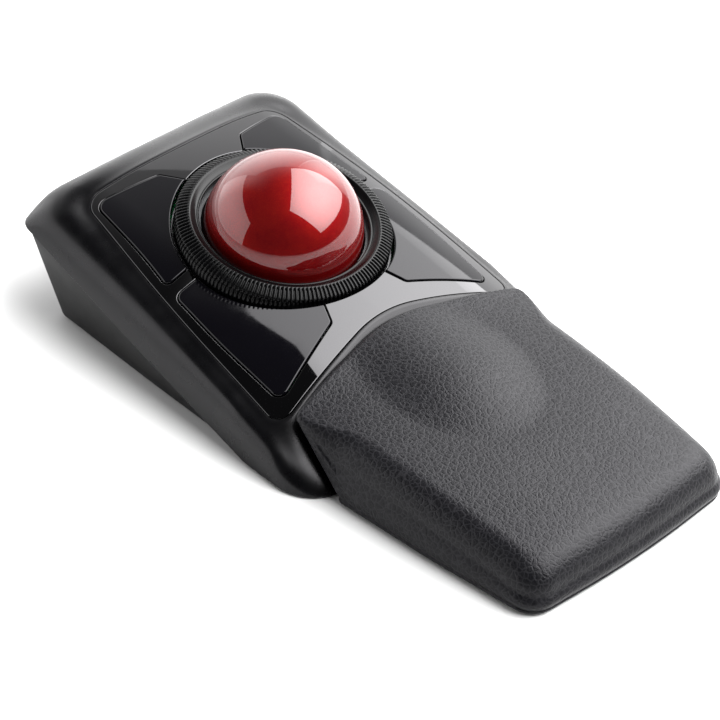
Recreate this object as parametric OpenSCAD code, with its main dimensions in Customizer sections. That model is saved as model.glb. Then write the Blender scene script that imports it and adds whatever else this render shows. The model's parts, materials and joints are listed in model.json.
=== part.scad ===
// Trackball mouse with four corner buttons, a scroll ring round the ball and a padded wrist rest.
// Origin: middle of the whole object, on the table. +Y is the back, +X the user's right.
// Lengths along Y in the values below are counted from the centre of the scroll ring.

/* [Overall] */
// Height of the top of the ball above the table
total_h = 65; // [64:0.5:66]
// Distance from the ring centre to the back lip of the case
back_y = 69.5; // [69:0.5:70]
// Distance from the ring centre to the front of the wrist rest
front_y = 166.3; // [166:0.1:167]
// Slope of the button plate, down towards the user
tilt = 10; // [9.5:0.5:10.5]

/* [Ball and ring] */
// Diameter of the ball
ball_d = 55; // [54.8:0.1:55]
// Depth of the ball's centre under the button plate
ball_sink = 3.19; // [3:0.01:3.2]
// Radius of the hole in the button plate
hole_r = 38; // [38:0.1:38.4]
// Outer radius of the scroll ring
ring_r = 37.2; // [36.8:0.1:37.3]
// Inner radius of the scroll ring's lip
ring_lip_r = 29.2; // [29:0.1:29.4]
// Height of the ring's crest over the button plate
ring_crest = 2; // [1.6:0.1:2.2]
// Number of slots in the ring's encoder skirt
slot_count = 36; // [24:2:40]

/* [Plate and shell] */
// Radius of the plate's crown across
crown_ru = 130; // [128:1:134]
// Radius of the plate's crown along the slope
crown_rv = 900; // [880:10:920]
// Thickness of the button plate and of the buttons
plate_t = 2.4; // [2:0.1:2.6]
// Wall of the moulded shells
wall = 2.4; // [2.2:0.1:2.5]
// Width of the top shell's rim outside the plate
rim_w = 1.2; // [1:0.1:1.4]
// Gap round each button
gap = 0.35; // [0.3:0.05:0.5]
// How far the buttons stand over the plate
button_rise = 0.5; // [0.3:0.1:0.6]

/* [Inside] */
// Diameter of an AA cell
cell_d = 14.5; // [14.3:0.1:14.5]
// Length of an AA cell's can
cell_l = 49.2; // [49:0.1:49.5]
// Thickness of the circuit boards
board_t = 1.6; // [1.2:0.2:1.6]
// Depth of the main board's top under the plate
board_w = 16.4; // [16.3:0.1:16.6]

/* [Wrist rest] */
// Thickness of the leather cover
leather_t = 1.2; // [1:0.1:1.4]
// Height of the cushion's top edge at the case, in the middle
rest_back_h = 29.5; // [29:0.5:30]
// Height of the cushion's edge at the front
rest_front_h = 9; // [8:0.5:10]

/* [Hidden] */
$fn = 96;
crown_fn = 360;          // segments of the large crowned arcs
corner_steps = 6;        // segments of a rounded corner
ball_r = ball_d / 2;
ring_y = (front_y - back_y) / 2;
ball_z = total_h - ball_r;
plate_z = ball_z + ball_sink * cos(tilt);
foot_h = 1;              // height of the rubber feet
floor_t = 2;             // floor of the bottom case
part_rise = 0.262;       // slope of the line where the two case halves meet
part_y = -51.5;          // where that line reaches the table
lip_h = 0.6;             // clearance of the top shell over the table
front_bow = 0.68;        // what the rounding takes off the front's middle
shoulder_rise = 0.225;   // slope of the top shell's shoulder
shoulder_z = 22.4;       // height of the shoulder beside the ring
case_gap = 0.15;         // gap between the two case halves
far = 200;               // longer than anything it cuts
tiny = 0.01;

// Right half of each outline, back to front: [x, y, corner radius]
plate_half = [[0, 48.9, 200], [43.8, 52.3, 7], [51.6, -2, 600], [54.6, -60.8, 5], [0, -47.8, 55]];
shoulder_half = [[0, 66.5, 400], [57.8, 67, 13], [59.5, 0, 600], [62.8, -79.5, 14], [0, -71, 100]];
lip_half = [[0, back_y, 400], [59.2, back_y - 0.2, 5], [61.5, 0, 600], [62.8, -82, 16], [0, -78, 100]];
base_half = [[0, 53.2, 400], [57, 53, 5], [58.5, 0, 600], [59.3, -77.5, 13], [0, -68, 100]];
wall_half = [[0, 68.1, 400], [57.8, 67.8, 4], [59.9, 0, 600], [59.3, -77.5, 13], [0, -68, 100]];
// Right half of the wrist rest's outline on the table and at its top edge
rest_low_half = [[0, -78.6, 100], [53, -82.4, 3], [50.4, -122, 300], [45.9, -163.6, 9],
    [0, -front_y - front_bow, 400]];
rest_top_half = [[0, -50.4, 100], [52.3, -62.4, 3], [48.6, -122, 300], [45.2, -163, 9],
    [0, -front_y, 400]];

// Right-hand buttons, clockwise from above, in the plate's own plane
lower_button = [[28, 0.3, 0.5], [47.4, 0.2, 2.8], [48.8, -24, 300],
    [48.5, -54.2, 3], [17.3, -42.6, 2.2], [9.2, -24, 0.5]];
upper_button = [[8.5, 28.6, 0.5], [18.8, 43.2, 2.4], [41.9, 48.5, 3.6], [44.4, 20, 300],
    [46.7, 5.4, 2], [28, 6.2, 0.5]];

// ---- outlines -----------------------------------------------------------------------------
function unit(v) = v / norm(v);
function left_of(v) = [-v.y, v.x];
function wrap(v, i) = v[(i + len(v)) % len(v)];
function mirrored(h) = concat(h, [for (i = [len(h) - 2:-1:1]) [-h[i].x, h[i].y, h[i][2]]]);
// One rounded corner at p between its neighbours a and b
function corner(a, p, b, r) =
    let (ua = unit(a - p), ub = unit(b - p), half = acos(ua * ub) / 2,
        centre = p + unit(ua + ub) * r / sin(half),
        first = p + ua * r / tan(half) - centre, last = p + ub * r / tan(half) - centre,
        a0 = atan2(first.y, first.x), turn = atan2(last.y, last.x) - a0,
        sweep = turn > 180 ? turn - 360 : turn < -180 ? turn + 360 : turn)
    [for (i = [0:corner_steps]) let (t = a0 + sweep * i / corner_steps)
        centre + r * [cos(t), sin(t)]];
function flat(p) = [p.x, p.y];
function rounded(v) = [for (i = [0:len(v) - 1])
    each corner(flat(wrap(v, i - 1)), flat(v[i]), flat(wrap(v, i + 1)), v[i][2])];
// Moves every side of a clockwise outline outwards by d
function grow(v, d) = [for (i = [0:len(v) - 1])
    let (p = flat(v[i]), e1 = unit(p - flat(wrap(v, i - 1))), e2 = unit(flat(wrap(v, i + 1)) - p),
        n1 = left_of(e1), n2 = left_of(e2), q = p + d * (n1 + n2) / (1 + n1 * n2),
        convex = cross(e1, e2) < 0)
    [q.x, q.y, max(0.3, v[i][2] + (convex ? d : -d))]];
function outline(half, d = 0) = rounded(grow(mirrored(half), d));

// ---- surfaces -----------------------------------------------------------------------------
function crown(u, v) =
    let (across = crown_rv - crown_ru + sqrt(crown_ru * crown_ru - u * u))
    sqrt(across * across - v * v) - crown_rv;
function plate_point(u, v, w) =
    [u, v * cos(tilt) - w * sin(tilt), plate_z + v * sin(tilt) + w * cos(tilt)];
function part_height(y) = part_rise * (y - part_y);
function shoulder_height(y) = shoulder_z + shoulder_rise * y;
function at_height(points, z) = [for (p = points) [p.x, p.y, z]];

// Solid skinned over rings of points that run clockwise from above, lowest ring first
module loft(rings) {
    n = len(rings[0]);
    top = len(rings) - 1;
    function mean(r) = [for (k = [0:2]) [for (p = r) p[k]] * [for (p = r) 1 / len(r)]];
    points = concat([for (r = rings) each r], [mean(rings[0]), mean(rings[top])]);
    sides = [for (k = [0:top - 1], i = [0:n - 1])
        let (a = k * n + i, b = k * n + (i + 1) % n)
        each [[a, b, b + n], [a, b + n, a + n]]];
    caps = [for (i = [0:n - 1]) let (j = (i + 1) % n)
        each [[n * (top + 1), j, i], [n * (top + 1) + 1, top * n + i, top * n + j]]];
    polyhedron(points, concat(sides, caps));
}

// ---- placing ------------------------------------------------------------------------------
module on_ring_y() { translate([0, ring_y, 0]) children(); }
module on_plate() { translate([0, ring_y, plate_z]) rotate([tilt, 0, 0]) children(); }
module at_ball() { translate([0, ring_y + ball_sink * sin(tilt), ball_z]) children(); }
module on_side(right) { if (right) children(); else mirror([1, 0, 0]) children(); }
module ring_of(r1, r2, w1, w2) {
    translate([0, 0, w1]) difference() {
        cylinder(r = r2, h = w2 - w1);
        translate([0, 0, -1]) cylinder(r = r1, h = w2 - w1 + 2);
    }
}
module box(size, centre) { translate(centre - size / 2) cube(size); }

// Band between two surfaces parallel to the plate's crowned face
module crown_slab(top, bottom) {
    sweep = 22;
    window = [60, 132];
    translate([0, 0, -crown_rv]) rotate([0, -90, 0])
        rotate_extrude(angle = sweep, start = -sweep / 2, $fn = crown_fn)
            intersection() {
                translate([crown_rv - crown_ru, 0]) difference() {
                    circle(r = crown_ru + top);
                    circle(r = crown_ru + bottom);
                }
                translate([crown_rv - window.x, -window.y / 2]) square([2 * window.x, window.y]);
            }
}
module prism(points, low = -far / 4, high = far / 4) {
    translate([0, 0, low]) linear_extrude(high - low) polygon(points);
}

// ---- case ---------------------------------------------------------------------------------
foot_r = 6;
foot_places = [[-46, 44], [46, 44], [-47, -64], [47, -64], [0, -58]];
screw_places = [[-50, 20], [50, 20], [-52, -50], [52, -50]];
screw_r = 1.3;
screw_head_r = 2.6;
screw_head_h = 1.6;
screw_l = 9;
boss_r = 3.2;
hook_x = 30;             // wrist rest hooks, to each side of the middle
hook = [8, 16, 3];
hook_y = -77;
hook_z = 5;
post_places = [[-20, -8], [20, -8], [0, 13]];
post_r = 2.8;

// Outer body of the top shell, or with an inset and a drop the space inside it
module shell_body(inset = 0, drop = 0) {
    below = drop > 0 ? 1 : 0;
    lip = [for (p = outline(lip_half, -inset))
        [p.x, p.y, max(lip_h - 2 * below, part_height(p.y) - below)]];
    shoulder = [for (p = outline(shoulder_half, -inset)) [p.x, p.y, shoulder_height(p.y) - drop]];
    rim = [for (p = outline(plate_half, rim_w - inset))
        plate_point(p.x, p.y, crown(p.x, p.y) - drop)];
    loft([lip, shoulder, rim]);
}
module hook_slots(extra = 0.4) {
    on_ring_y() for (side = [-1, 1])
        box(hook + 2 * [extra, extra, extra], [side * hook_x, hook_y, hook_z]);
}
module screw_bosses() {
    floor_top = foot_h + floor_t + case_gap;
    intersection() {
        for (p = screw_places) translate([p.x, p.y, floor_top]) difference() {
            cylinder(r = boss_r, h = plate_z);
            translate([0, 0, -1]) cylinder(r = screw_r - 0.05, h = screw_l);
        }
        difference() {
            shell_body(wall / 2, wall / 2);
            on_plate_of_ring() plate_space();
        }
    }
}
// Room for the button plate, with a little to spare
module plate_space() {
    intersection() {
        prism(rounded(grow(mirrored(plate_half), 0.1)));
        crown_slab(far / 10, -plate_t - 0.2);
    }
}
module on_plate_of_ring() { translate([0, -ring_y, 0]) on_plate() children(); }
module top_shell() {
    color("#1c1c1e") {
        difference() {
            on_ring_y() shell_body();
            on_ring_y() shell_body(wall, wall);
            on_plate() prism(rounded(grow(mirrored(plate_half), 0.1)), -20, 20);
            hook_slots();
        }
        on_ring_y() screw_bosses();
    }
}

door_size = [56, 31, 1.6];
door_y = 35.5;           // middle of the battery door
door_gap = 0.4;
slider_size = [5, 4.6, 2];
slider_at = [-28, -44];
slider_travel = 3;
pair_at = [-10, -44];
pair_r = 2.6;
pair_travel = 0.6;
dongle_at = [41, 31];
dongle_plug = [12, 4.5, 12];
dongle_cap = [12.2, 4.7, 6];
dongle_gap = 0.3;
bay_wall = 1.5;
bay_h = dongle_plug.z + dongle_cap.z + foot_h + 1;

module bottom_case() {
    bay = [dongle_cap.x, dongle_cap.y] + 2 * [dongle_gap, dongle_gap];
    low = outline(base_half);
    high = [for (p = outline(wall_half))
        [p.x, p.y, max(foot_h + floor_t, part_height(p.y) - case_gap)]];
    inner_low = outline(base_half, -wall);
    inner_high = [for (p = outline(wall_half, -wall))
        [p.x, p.y, max(foot_h + floor_t, part_height(p.y)) + 1]];
    color("#161618") on_ring_y() {
        difference() {
            loft([at_height(low, foot_h), high]);
            loft([at_height(inner_low, foot_h + floor_t), inner_high]);
            box([door_size.x + 2 * door_gap, door_size.y + 2 * door_gap, far / 10],
                [0, door_y, foot_h]);
            box([slider_size.x + slider_travel + 2 * door_gap, slider_size.y + 2 * door_gap, 9],
                [slider_at.x + slider_travel / 2, slider_at.y, foot_h]);
            translate([pair_at.x, pair_at.y, 0]) cylinder(r = pair_r + gap, h = 9);
            box([bay.x, bay.y, 9], [dongle_at.x, dongle_at.y, foot_h]);
            for (p = foot_places) translate([p.x, p.y, 0]) cylinder(r = foot_r + 0.1, h = foot_h + 0.4);
            for (p = concat(screw_places, post_places))
                translate([p.x, p.y, 0]) cylinder(r = screw_head_r + 0.1, h = 9);
        }
        translate([dongle_at.x, dongle_at.y, foot_h + floor_t]) difference() {
            linear_extrude(bay_h - floor_t) square(bay + 2 * [bay_wall, bay_wall], center = true);
            translate([0, 0, -1]) linear_extrude(bay_h - floor_t) square(bay, center = true);
        }
    }
}
module screw(p, z, length) {
    translate([p.x, p.y, z]) {
        cylinder(r = screw_head_r, h = screw_head_h);
        cylinder(r = screw_r, h = length);
    }
}
module case_screws() {
    color("silver") on_ring_y() for (p = screw_places) screw(p, foot_h + 0.4, screw_l);
}
module body_feet() {
    color("#3a3a3d") on_ring_y()
        for (p = foot_places) translate([p.x, p.y, 0]) cylinder(r = foot_r, h = foot_h + 0.4);
}
module bezel_plate() {
    color("#0d0d0f") on_plate() intersection() {
        crown_slab(0, -plate_t);
        difference() {
            prism(rounded(mirrored(plate_half)));
            cylinder(r = hole_r, h = far, center = true);
            for (right = [true, false]) on_side(right) {
                prism(rounded(grow(lower_button, gap)));
                prism(rounded(grow(upper_button, gap)));
            }
        }
    }
}

// ---- buttons and their switches -----------------------------------------------------------
lower_switch = [35, -31];
upper_switch = [35, 30];
switch_size = [12.8, 5.8, 6.4];
plunger_size = [2.4, 2, 1.2];
plunger_rise = 0.7;
plunger_well = 1.2;      // depth of the switch's well for the plunger
button_post_r = 1.6;
post_gap = 0.05;

module button(shape, at, right) {
    top_of_plunger = switch_size.z - board_w + plunger_rise;
    color("#232326") on_plate() on_side(right) {
        intersection() {
            crown_slab(button_rise, 0.3 - plate_t);
            difference() {
                prism(rounded(shape));
                cylinder(r = hole_r + gap, h = far, center = true);
            }
        }
        translate([at.x, at.y, top_of_plunger + post_gap])
            cylinder(r = button_post_r, h = crown(at.x, at.y) - 1 - top_of_plunger);
    }
}
module microswitch(at, right) {
    color("#2b2b2b") on_plate() on_side(right) difference() {
        box(switch_size, [at.x, at.y, switch_size.z / 2 - board_w]);
        box([plunger_size.x + 0.2, plunger_size.y + 0.2, 2 * plunger_well],
            [at.x, at.y, switch_size.z - board_w]);
    }
}
module plunger(at, right) {
    color("firebrick") on_plate() on_side(right)
        box(plunger_size, [at.x, at.y, switch_size.z - board_w + plunger_rise - plunger_size.z / 2]);
}

// ---- ball, socket and sensor --------------------------------------------------------------
socket_gap = 0.7;
socket_t = 2;
socket_rim_w = -2.5;
bearing_r = 1.5;
bearing_tilt = 30;
bearing_turns = [90, 210, 330];
sensor_tilt = 52;
sensor_hole_r = 5;
sensor_w = [31.4, 34.2];   // near and far faces of the sensor, from the ball's centre
sensor_board = [16, 16, 1.4];
bearing_at = ball_r + bearing_r + 0.03;
socket_out = ball_r + socket_gap + socket_t;

// Turns +Z to point out from the ball's centre, below its equator
module outwards(turn, below) { rotate([0, 0, turn]) rotate([0, 90 + below, 0]) children(); }

module trackball() { color("#8a1420") at_ball() sphere(r = ball_r); }
module support_bearing(k) {
    color("white") at_ball() outwards(bearing_turns[k], bearing_tilt)
        translate([0, 0, bearing_at]) sphere(r = bearing_r);
}
function socket_under(r) = ball_z - sqrt(socket_out * socket_out - r * r);
module ball_socket() {
    boss = bearing_r + 1.1;
    color("#2a2a2c") difference() {
        union() {
            at_ball() sphere(r = socket_out);
            at_ball() for (t = bearing_turns)
                outwards(t, bearing_tilt) translate([0, 0, bearing_at + 0.4]) sphere(r = boss);
            on_ring_y() for (p = post_places) translate([p.x, p.y, foot_h + floor_t])
                cylinder(r = post_r, h = socket_under(norm(p)) + 0.3 - foot_h - floor_t);
        }
        at_ball() sphere(r = ball_r + socket_gap);
        on_plate() box([far, far, far], [0, 0, socket_rim_w + far / 2]);
        at_ball() for (t = bearing_turns)
            outwards(t, bearing_tilt) translate([0, 0, bearing_at]) sphere(r = bearing_r + 0.02);
        at_ball() outwards(-90, sensor_tilt) cylinder(r = sensor_hole_r, h = far);
        on_ring_y() for (p = post_places)
            translate([p.x, p.y, 0]) cylinder(r = screw_r - 0.05, h = foot_h + floor_t + 4);
    }
}
module socket_screws() {
    color("silver") on_ring_y() for (p = post_places) screw(p, foot_h + 0.3, 5.5);
}
module sensor_lens() {
    color("#c8d8e0") at_ball() outwards(-90, sensor_tilt)
        translate([0, 0, ball_r + socket_gap + 0.2]) {
            cylinder(r = sensor_hole_r - 0.2, h = socket_t);
            translate([-7, -7, socket_t]) cube([14, 14, 0.8]);
        }
}
module optical_sensor() {
    color("#101010") at_ball() outwards(-90, sensor_tilt)
        box([10, 12, sensor_w[1] - sensor_w[0]], [0, 0, (sensor_w[0] + sensor_w[1]) / 2]);
}
module sensor_circuit() {
    color("darkgreen") at_ball() outwards(-90, sensor_tilt)
        box(sensor_board, [0, 0, sensor_w[1] + sensor_board.z / 2]);
}

// ---- scroll ring --------------------------------------------------------------------------
ring_foot_w = -7;
encoder_r = [33.5, 34.7];
encoder_w = -11.7;
guide_r = [35.4, 37.8];
guide_w = [-9.4, -7.4];
guide_leg_r = 1.1;
reader_turn = 120;

module scroll_ring() {
    inner = ring_lip_r + 2;
    color("#1a1a1c") on_plate() rotate_extrude()
        polygon([[inner, ring_foot_w], [inner, -1.8], [ring_lip_r, -0.8], [ring_lip_r, 0.5],
            [31.2, ring_crest - 0.1], [32.6, ring_crest], [ring_r - 0.6, 0.2], [ring_r, -1],
            [ring_r, ring_foot_w]]);
}
module ring_encoder() {
    color("#3b3b3e") on_plate() difference() {
        ring_of(encoder_r[0], encoder_r[1], encoder_w, ring_foot_w);
        for (k = [0:slot_count - 1]) rotate([0, 0, k * 360 / slot_count])
            box([6, 2.4, 3], [encoder_r[0], 0, encoder_w + 1.5 - tiny]);
    }
}
module ring_guide() {
    leg_at = guide_r[1] - guide_leg_r - 0.2;
    color("#5a5a5e") on_plate() {
        ring_of(guide_r[0], guide_r[1], guide_w[0], guide_w[1]);
        for (t = [0:90:270]) rotate([0, 0, t])
            translate([leg_at, 0, -board_w]) cylinder(r = guide_leg_r, h = guide_w[0] + board_w + 0.2);
    }
}
module ring_sensor() {
    post_w = -9.8;
    color("#111111") on_plate() rotate([0, 0, reader_turn]) difference() {
        translate([31, -2.5, -board_w]) cube([6.2, 5, board_w + post_w]);
        translate([encoder_r[0] - 0.7, -3, 1.7 - board_w]) cube([2.6, 6, board_w]);
    }
}

// ---- electronics --------------------------------------------------------------------------
board_half = [[0, 41, 50], [43, 40, 4], [44, 0, 300], [43, -42, 4], [0, -41, 50]];
board_hole_r = 31;
board_bolts = [[-38, 8], [38, 8]];

module main_board() {
    color("darkgreen") on_plate() difference() {
        prism(outline(board_half), -board_w - board_t, -board_w);
        cylinder(r = board_hole_r, h = far, center = true);
        for (p = board_bolts) translate([p.x, p.y, 0]) cylinder(r = screw_r, h = far, center = true);
    }
}
module board_screws() {
    color("silver") on_plate() for (p = board_bolts) translate([p.x, p.y, -board_w]) {
        cylinder(r = screw_head_r, h = screw_head_h);
        translate([0, 0, -4]) cylinder(r = screw_r - 0.05, h = 4);
    }
}
module controller_chip() {
    color("#101012") on_plate() box([7, 7, 1], [-36, -15, 0.5 - board_w]);
}
module radio_module() {
    color("silver") on_plate() box([10, 8, 1.6], [20, 36, 0.8 - board_w]);
}
// Flat cable from the sensor's board up to the underside of the main board
function flipped(p) = [-p.x, p.y];
module ribbon_cable() {
    ribbon_t = 0.4;
    ribbon_w = 8;
    v_end = -36;
    from = [ball_sink * sin(tilt), ball_z]
        - (sensor_w[1] + sensor_board.z + ribbon_t / 2) * [cos(sensor_tilt), sin(sensor_tilt)]
        + 5 * [-sin(sensor_tilt), cos(sensor_tilt)];
    top = plate_point(0, v_end, -board_w - board_t);
    to = [top.y, top.z - 0.1];
    bend = [to.x + 0.5, from.y + 1];
    path = [from, from + 0.5 * (bend - from) - [0, 1], bend, to];
    last = len(path) - 1;
    function across(i) = ribbon_t / 2 * left_of(unit(path[min(i + 1, last)] - path[max(i - 1, 0)]));
    color("#b8b8b0") on_ring_y() translate([ribbon_w / 2, 0, 0]) rotate([90, 0, -90])
        linear_extrude(ribbon_w) polygon([for (i = [0:last]) flipped(path[i] + across(i)),
            for (i = [last:-1:0]) flipped(path[i] - across(i))]);
}

control_at = [-19, -44, 7.7];
module control_board() {
    color("darkgreen") on_ring_y() box([34, 12, board_t], control_at + [0, 0, board_t / 2]);
}
module power_switch() {
    low = foot_h + slider_size.z + 0.7;
    color("silver") on_ring_y() box([12, 6, control_at.z - low],
        [slider_at.x + slider_travel / 2, slider_at.y, (control_at.z + low) / 2]);
}
module power_slider() {
    color("#4a4a4e") on_ring_y() box(slider_size,
        [slider_at.x, slider_at.y, foot_h + 0.4 + slider_size.z / 2]);
}
module pairing_button() {
    color("#4a4a4e") on_ring_y() translate([pair_at.x, pair_at.y, foot_h + 0.3])
        cylinder(r = pair_r, h = 2.8);
}
module pairing_switch() {
    low = foot_h + 3.1 + pair_travel + 0.2;
    color("silver") on_ring_y()
        box([6, 6, control_at.z - low], [pair_at.x, pair_at.y, (control_at.z + low) / 2]);
}

// ---- power --------------------------------------------------------------------------------
cell_z = 10.6;
cell_ys = [28.6, 43.4];
nub = [2.7, 1.2];          // radius and length of a cell's positive cap
plate_x = 27.1;            // contact plates, to each side of the middle
plate_size = [0.5, 12, 10];

module cell(k) {
    way = k == 0 ? 1 : -1;
    color("goldenrod") on_ring_y() translate([0, cell_ys[k], cell_z]) rotate([0, 90 * way, 0]) {
        cylinder(d = cell_d, h = cell_l, center = true);
        cylinder(r = nub[0], h = cell_l / 2 + nub[1]);
    }
}
module battery_springs() {
    wire = 0.35;
    coils = [3.4, 3, 2.6];
    span = plate_x - plate_size.x / 2 - cell_l / 2;
    color("silver") on_ring_y() for (k = [0:1]) {
        way = k == 0 ? -1 : 1;
        for (c = [0:len(coils) - 1])
            translate([way * (cell_l / 2 + wire + c * (span - 2 * wire) / len(coils) + 0.1),
                cell_ys[k], cell_z])
                rotate([0, 90, 0]) rotate_extrude() translate([coils[c], 0]) circle(r = wire, $fn = 24);
    }
}
module battery_plates() {
    color("silver") on_ring_y() for (side = [-1, 1], y = cell_ys)
        box(plate_size, [side * (plate_x + 0.1), y, cell_z]);
}
// Door with a round back edge, which it turns on
module battery_door() {
    edge_r = door_size.z / 2;
    color("#1b1b1d") on_ring_y() {
        box(door_size - [0, edge_r, 0], [0, door_y - edge_r / 2, foot_h + edge_r]);
        translate([-door_size.x / 2, door_y + door_size.y / 2 - edge_r, foot_h + edge_r])
            rotate([0, 90, 0]) cylinder(r = edge_r, h = door_size.x);
    }
}
module receiver_plug() {
    color("silver") on_ring_y()
        box(dongle_plug, [dongle_at.x, dongle_at.y, foot_h + dongle_cap.z + dongle_plug.z / 2]);
}
module receiver_cap() {
    color("#141416") on_ring_y()
        box(dongle_cap, [dongle_at.x, dongle_at.y, foot_h + 0.1 + (dongle_cap.z - 0.1) / 2]
            - [0, 0, 0.05]);
}

// ---- wrist rest ---------------------------------------------------------------------------
rest_centre = [0, -112];
rest_low_z = 1.3;
tray_h = 2;
// Height of the cushion's side edge and of its middle line, along the rest
side_line = [[-front_y, rest_front_h], [-153, 13], [-141, 16], [-124, 19], [-107, 20.5], [-90, 21],
    [-62, 21], [-50, 26]];
mid_line = [[-front_y, rest_front_h], [-158, 14.5], [-145, 18.5], [-120, 22.5], [-95, 25.5],
    [-70, 29.5], [-50, rest_back_h]];
half_line = [[-front_y, 46], [-122, 49], [-62, 53]];
function cushion_z(p) =
    let (side = lookup(p.y, side_line), t = p.x / lookup(p.y, half_line))
    side + (lookup(p.y, mid_line) - side) * (1 - t * t);
function shrink(points, s) = [for (p = points) rest_centre + s * (p - rest_centre)];
function between(a, b, t) = [for (i = [0:len(a) - 1]) a[i] + t * (b[i] - a[i])];

// Cushion form; an inset gives the space inside its cover, which may run on below its edge
module cushion(inset = 0, below = 0) {
    low_z = rest_low_z;
    low = outline(rest_low_half, -inset);
    high = outline(rest_top_half, -inset);
    wide = between(low, high, 0.4);
    edge = shrink(high, 0.975);
    function raised(points, drop) = [for (p = points) [p.x, p.y, cushion_z(p) - drop - inset]];
    function part_way(points, t) = [for (i = [0:len(points) - 1])
        [points[i].x, points[i].y, low_z + t * (cushion_z(high[i]) - low_z - inset)]];
    walls = [at_height(low, low_z), part_way(wide, 0.4), part_way(between(low, high, 0.85), 0.8),
        raised(edge, 1), raised(shrink(high, 0.88), 0), raised(shrink(high, 0.6), 0),
        raised(shrink(high, 0.3), 0)];
    loft(below > 0 ? concat([at_height(low, low_z - below)], walls) : walls);
}
module rest_leather() {
    color("#2e2e32") difference() {
        on_ring_y() cushion();
        on_ring_y() cushion(leather_t, 1);
        hook_slots(0.3);
    }
}
module rest_foam() {
    color("#c9c3a0") difference() {
        on_ring_y() cushion(leather_t + 0.1);
        on_ring_y() box([far, 2 * far, 2 * (foot_h + tray_h + 0.1)], [0, 0, 0]);
        on_ring_y() for (side = [-1, 1])
            box([hook.x + 1, 8, 2 * hook_z], [side * hook_x, hook_y - hook.y / 2 + 1.5, hook_z]);
        hook_slots(0.3);
    }
}
module rest_tray() {
    inner = outline(rest_low_half, -leather_t - 1.2);
    color("#1e1e20") on_ring_y() {
        difference() {
            loft([at_height(inner, foot_h), at_height(inner, foot_h + tray_h)]);
            for (p = pad_places) translate([p.x, p.y, 0]) cylinder(r = pad_r + 0.1, h = foot_h + 0.4);
        }
        for (side = [-1, 1]) {
            box(hook, [side * hook_x, hook_y, hook_z]);
            box([hook.x, 3, hook_z - foot_h - tray_h], [side * hook_x, hook_y - hook.y / 2 + 1.5,
                (hook_z + foot_h + tray_h) / 2]);
        }
    }
}
pad_r = 5;
pad_places = [[-38, -95], [38, -95], [-35, -152], [35, -152]];
module rest_feet() {
    color("#3a3a3d") on_ring_y()
        for (p = pad_places) translate([p.x, p.y, 0]) cylinder(r = pad_r, h = foot_h + 0.4);
}

bottom_case();
top_shell();
bezel_plate();
body_feet();
case_screws();
button(lower_button, lower_switch, true);  // button_lower_right
button(lower_button, lower_switch, false);  // button_lower_left
button(upper_button, upper_switch, true);  // button_upper_right
button(upper_button, upper_switch, false);  // button_upper_left
microswitch(lower_switch, true);  // switch_lower_right
microswitch(lower_switch, false);  // switch_lower_left
microswitch(upper_switch, true);  // switch_upper_right
microswitch(upper_switch, false);  // switch_upper_left
plunger(lower_switch, true);  // plunger_lower_right
plunger(lower_switch, false);  // plunger_lower_left
plunger(upper_switch, true);  // plunger_upper_right
plunger(upper_switch, false);  // plunger_upper_left
trackball();
ball_socket();
support_bearing(0);  // support_bearing_back
support_bearing(1);  // support_bearing_left
support_bearing(2);  // support_bearing_right
socket_screws();
sensor_lens();
optical_sensor();
sensor_circuit();  // sensor_board
scroll_ring();
ring_encoder();
ring_guide();
ring_sensor();
main_board();
board_screws();
controller_chip();
radio_module();
ribbon_cable();
control_board();
power_switch();
power_slider();
pairing_button();
pairing_switch();
cell(0);  // battery_front
cell(1);  // battery_back
battery_springs();
battery_plates();
battery_door();
receiver_plug();
receiver_cap();
rest_tray();
rest_foam();
rest_leather();
rest_feet();
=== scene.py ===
"""Trackball mouse with a leather wrist rest: its visible pieces, materials, light and camera.

Sizes are in millimetres, as in the design, and mesh_object() turns them into metres. Outlines
run clockwise from above, and their Y is counted from the centre of the scroll ring. On the
plate, u runs across, v towards the back and w out of the plate.
"""
import json
from math import atan2, cos, pi, radians, sin, sqrt, tan

import bmesh
import bpy
import numpy as np
from mathutils import Matrix, Vector
from mathutils.geometry import delaunay_2d_cdt


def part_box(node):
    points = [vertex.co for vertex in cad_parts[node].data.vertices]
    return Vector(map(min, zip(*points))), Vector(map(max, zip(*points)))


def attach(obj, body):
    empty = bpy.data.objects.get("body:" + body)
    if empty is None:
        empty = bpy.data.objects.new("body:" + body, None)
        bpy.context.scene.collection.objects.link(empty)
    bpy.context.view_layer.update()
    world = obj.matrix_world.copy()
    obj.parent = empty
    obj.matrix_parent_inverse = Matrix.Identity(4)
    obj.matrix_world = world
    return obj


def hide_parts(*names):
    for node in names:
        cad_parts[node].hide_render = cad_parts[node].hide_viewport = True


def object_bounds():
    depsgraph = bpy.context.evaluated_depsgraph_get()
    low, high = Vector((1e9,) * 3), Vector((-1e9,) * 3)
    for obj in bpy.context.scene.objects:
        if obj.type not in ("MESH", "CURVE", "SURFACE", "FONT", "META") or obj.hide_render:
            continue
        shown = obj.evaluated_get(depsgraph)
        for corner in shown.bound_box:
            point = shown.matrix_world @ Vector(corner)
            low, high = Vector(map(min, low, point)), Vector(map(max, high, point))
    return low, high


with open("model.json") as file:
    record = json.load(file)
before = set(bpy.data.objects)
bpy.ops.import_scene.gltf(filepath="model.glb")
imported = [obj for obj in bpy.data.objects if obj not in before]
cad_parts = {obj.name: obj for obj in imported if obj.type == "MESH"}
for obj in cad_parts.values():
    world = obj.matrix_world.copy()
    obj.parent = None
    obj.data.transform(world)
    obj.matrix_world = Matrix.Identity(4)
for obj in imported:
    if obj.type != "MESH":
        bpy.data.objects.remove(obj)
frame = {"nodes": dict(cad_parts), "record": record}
cad_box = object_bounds()

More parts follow.
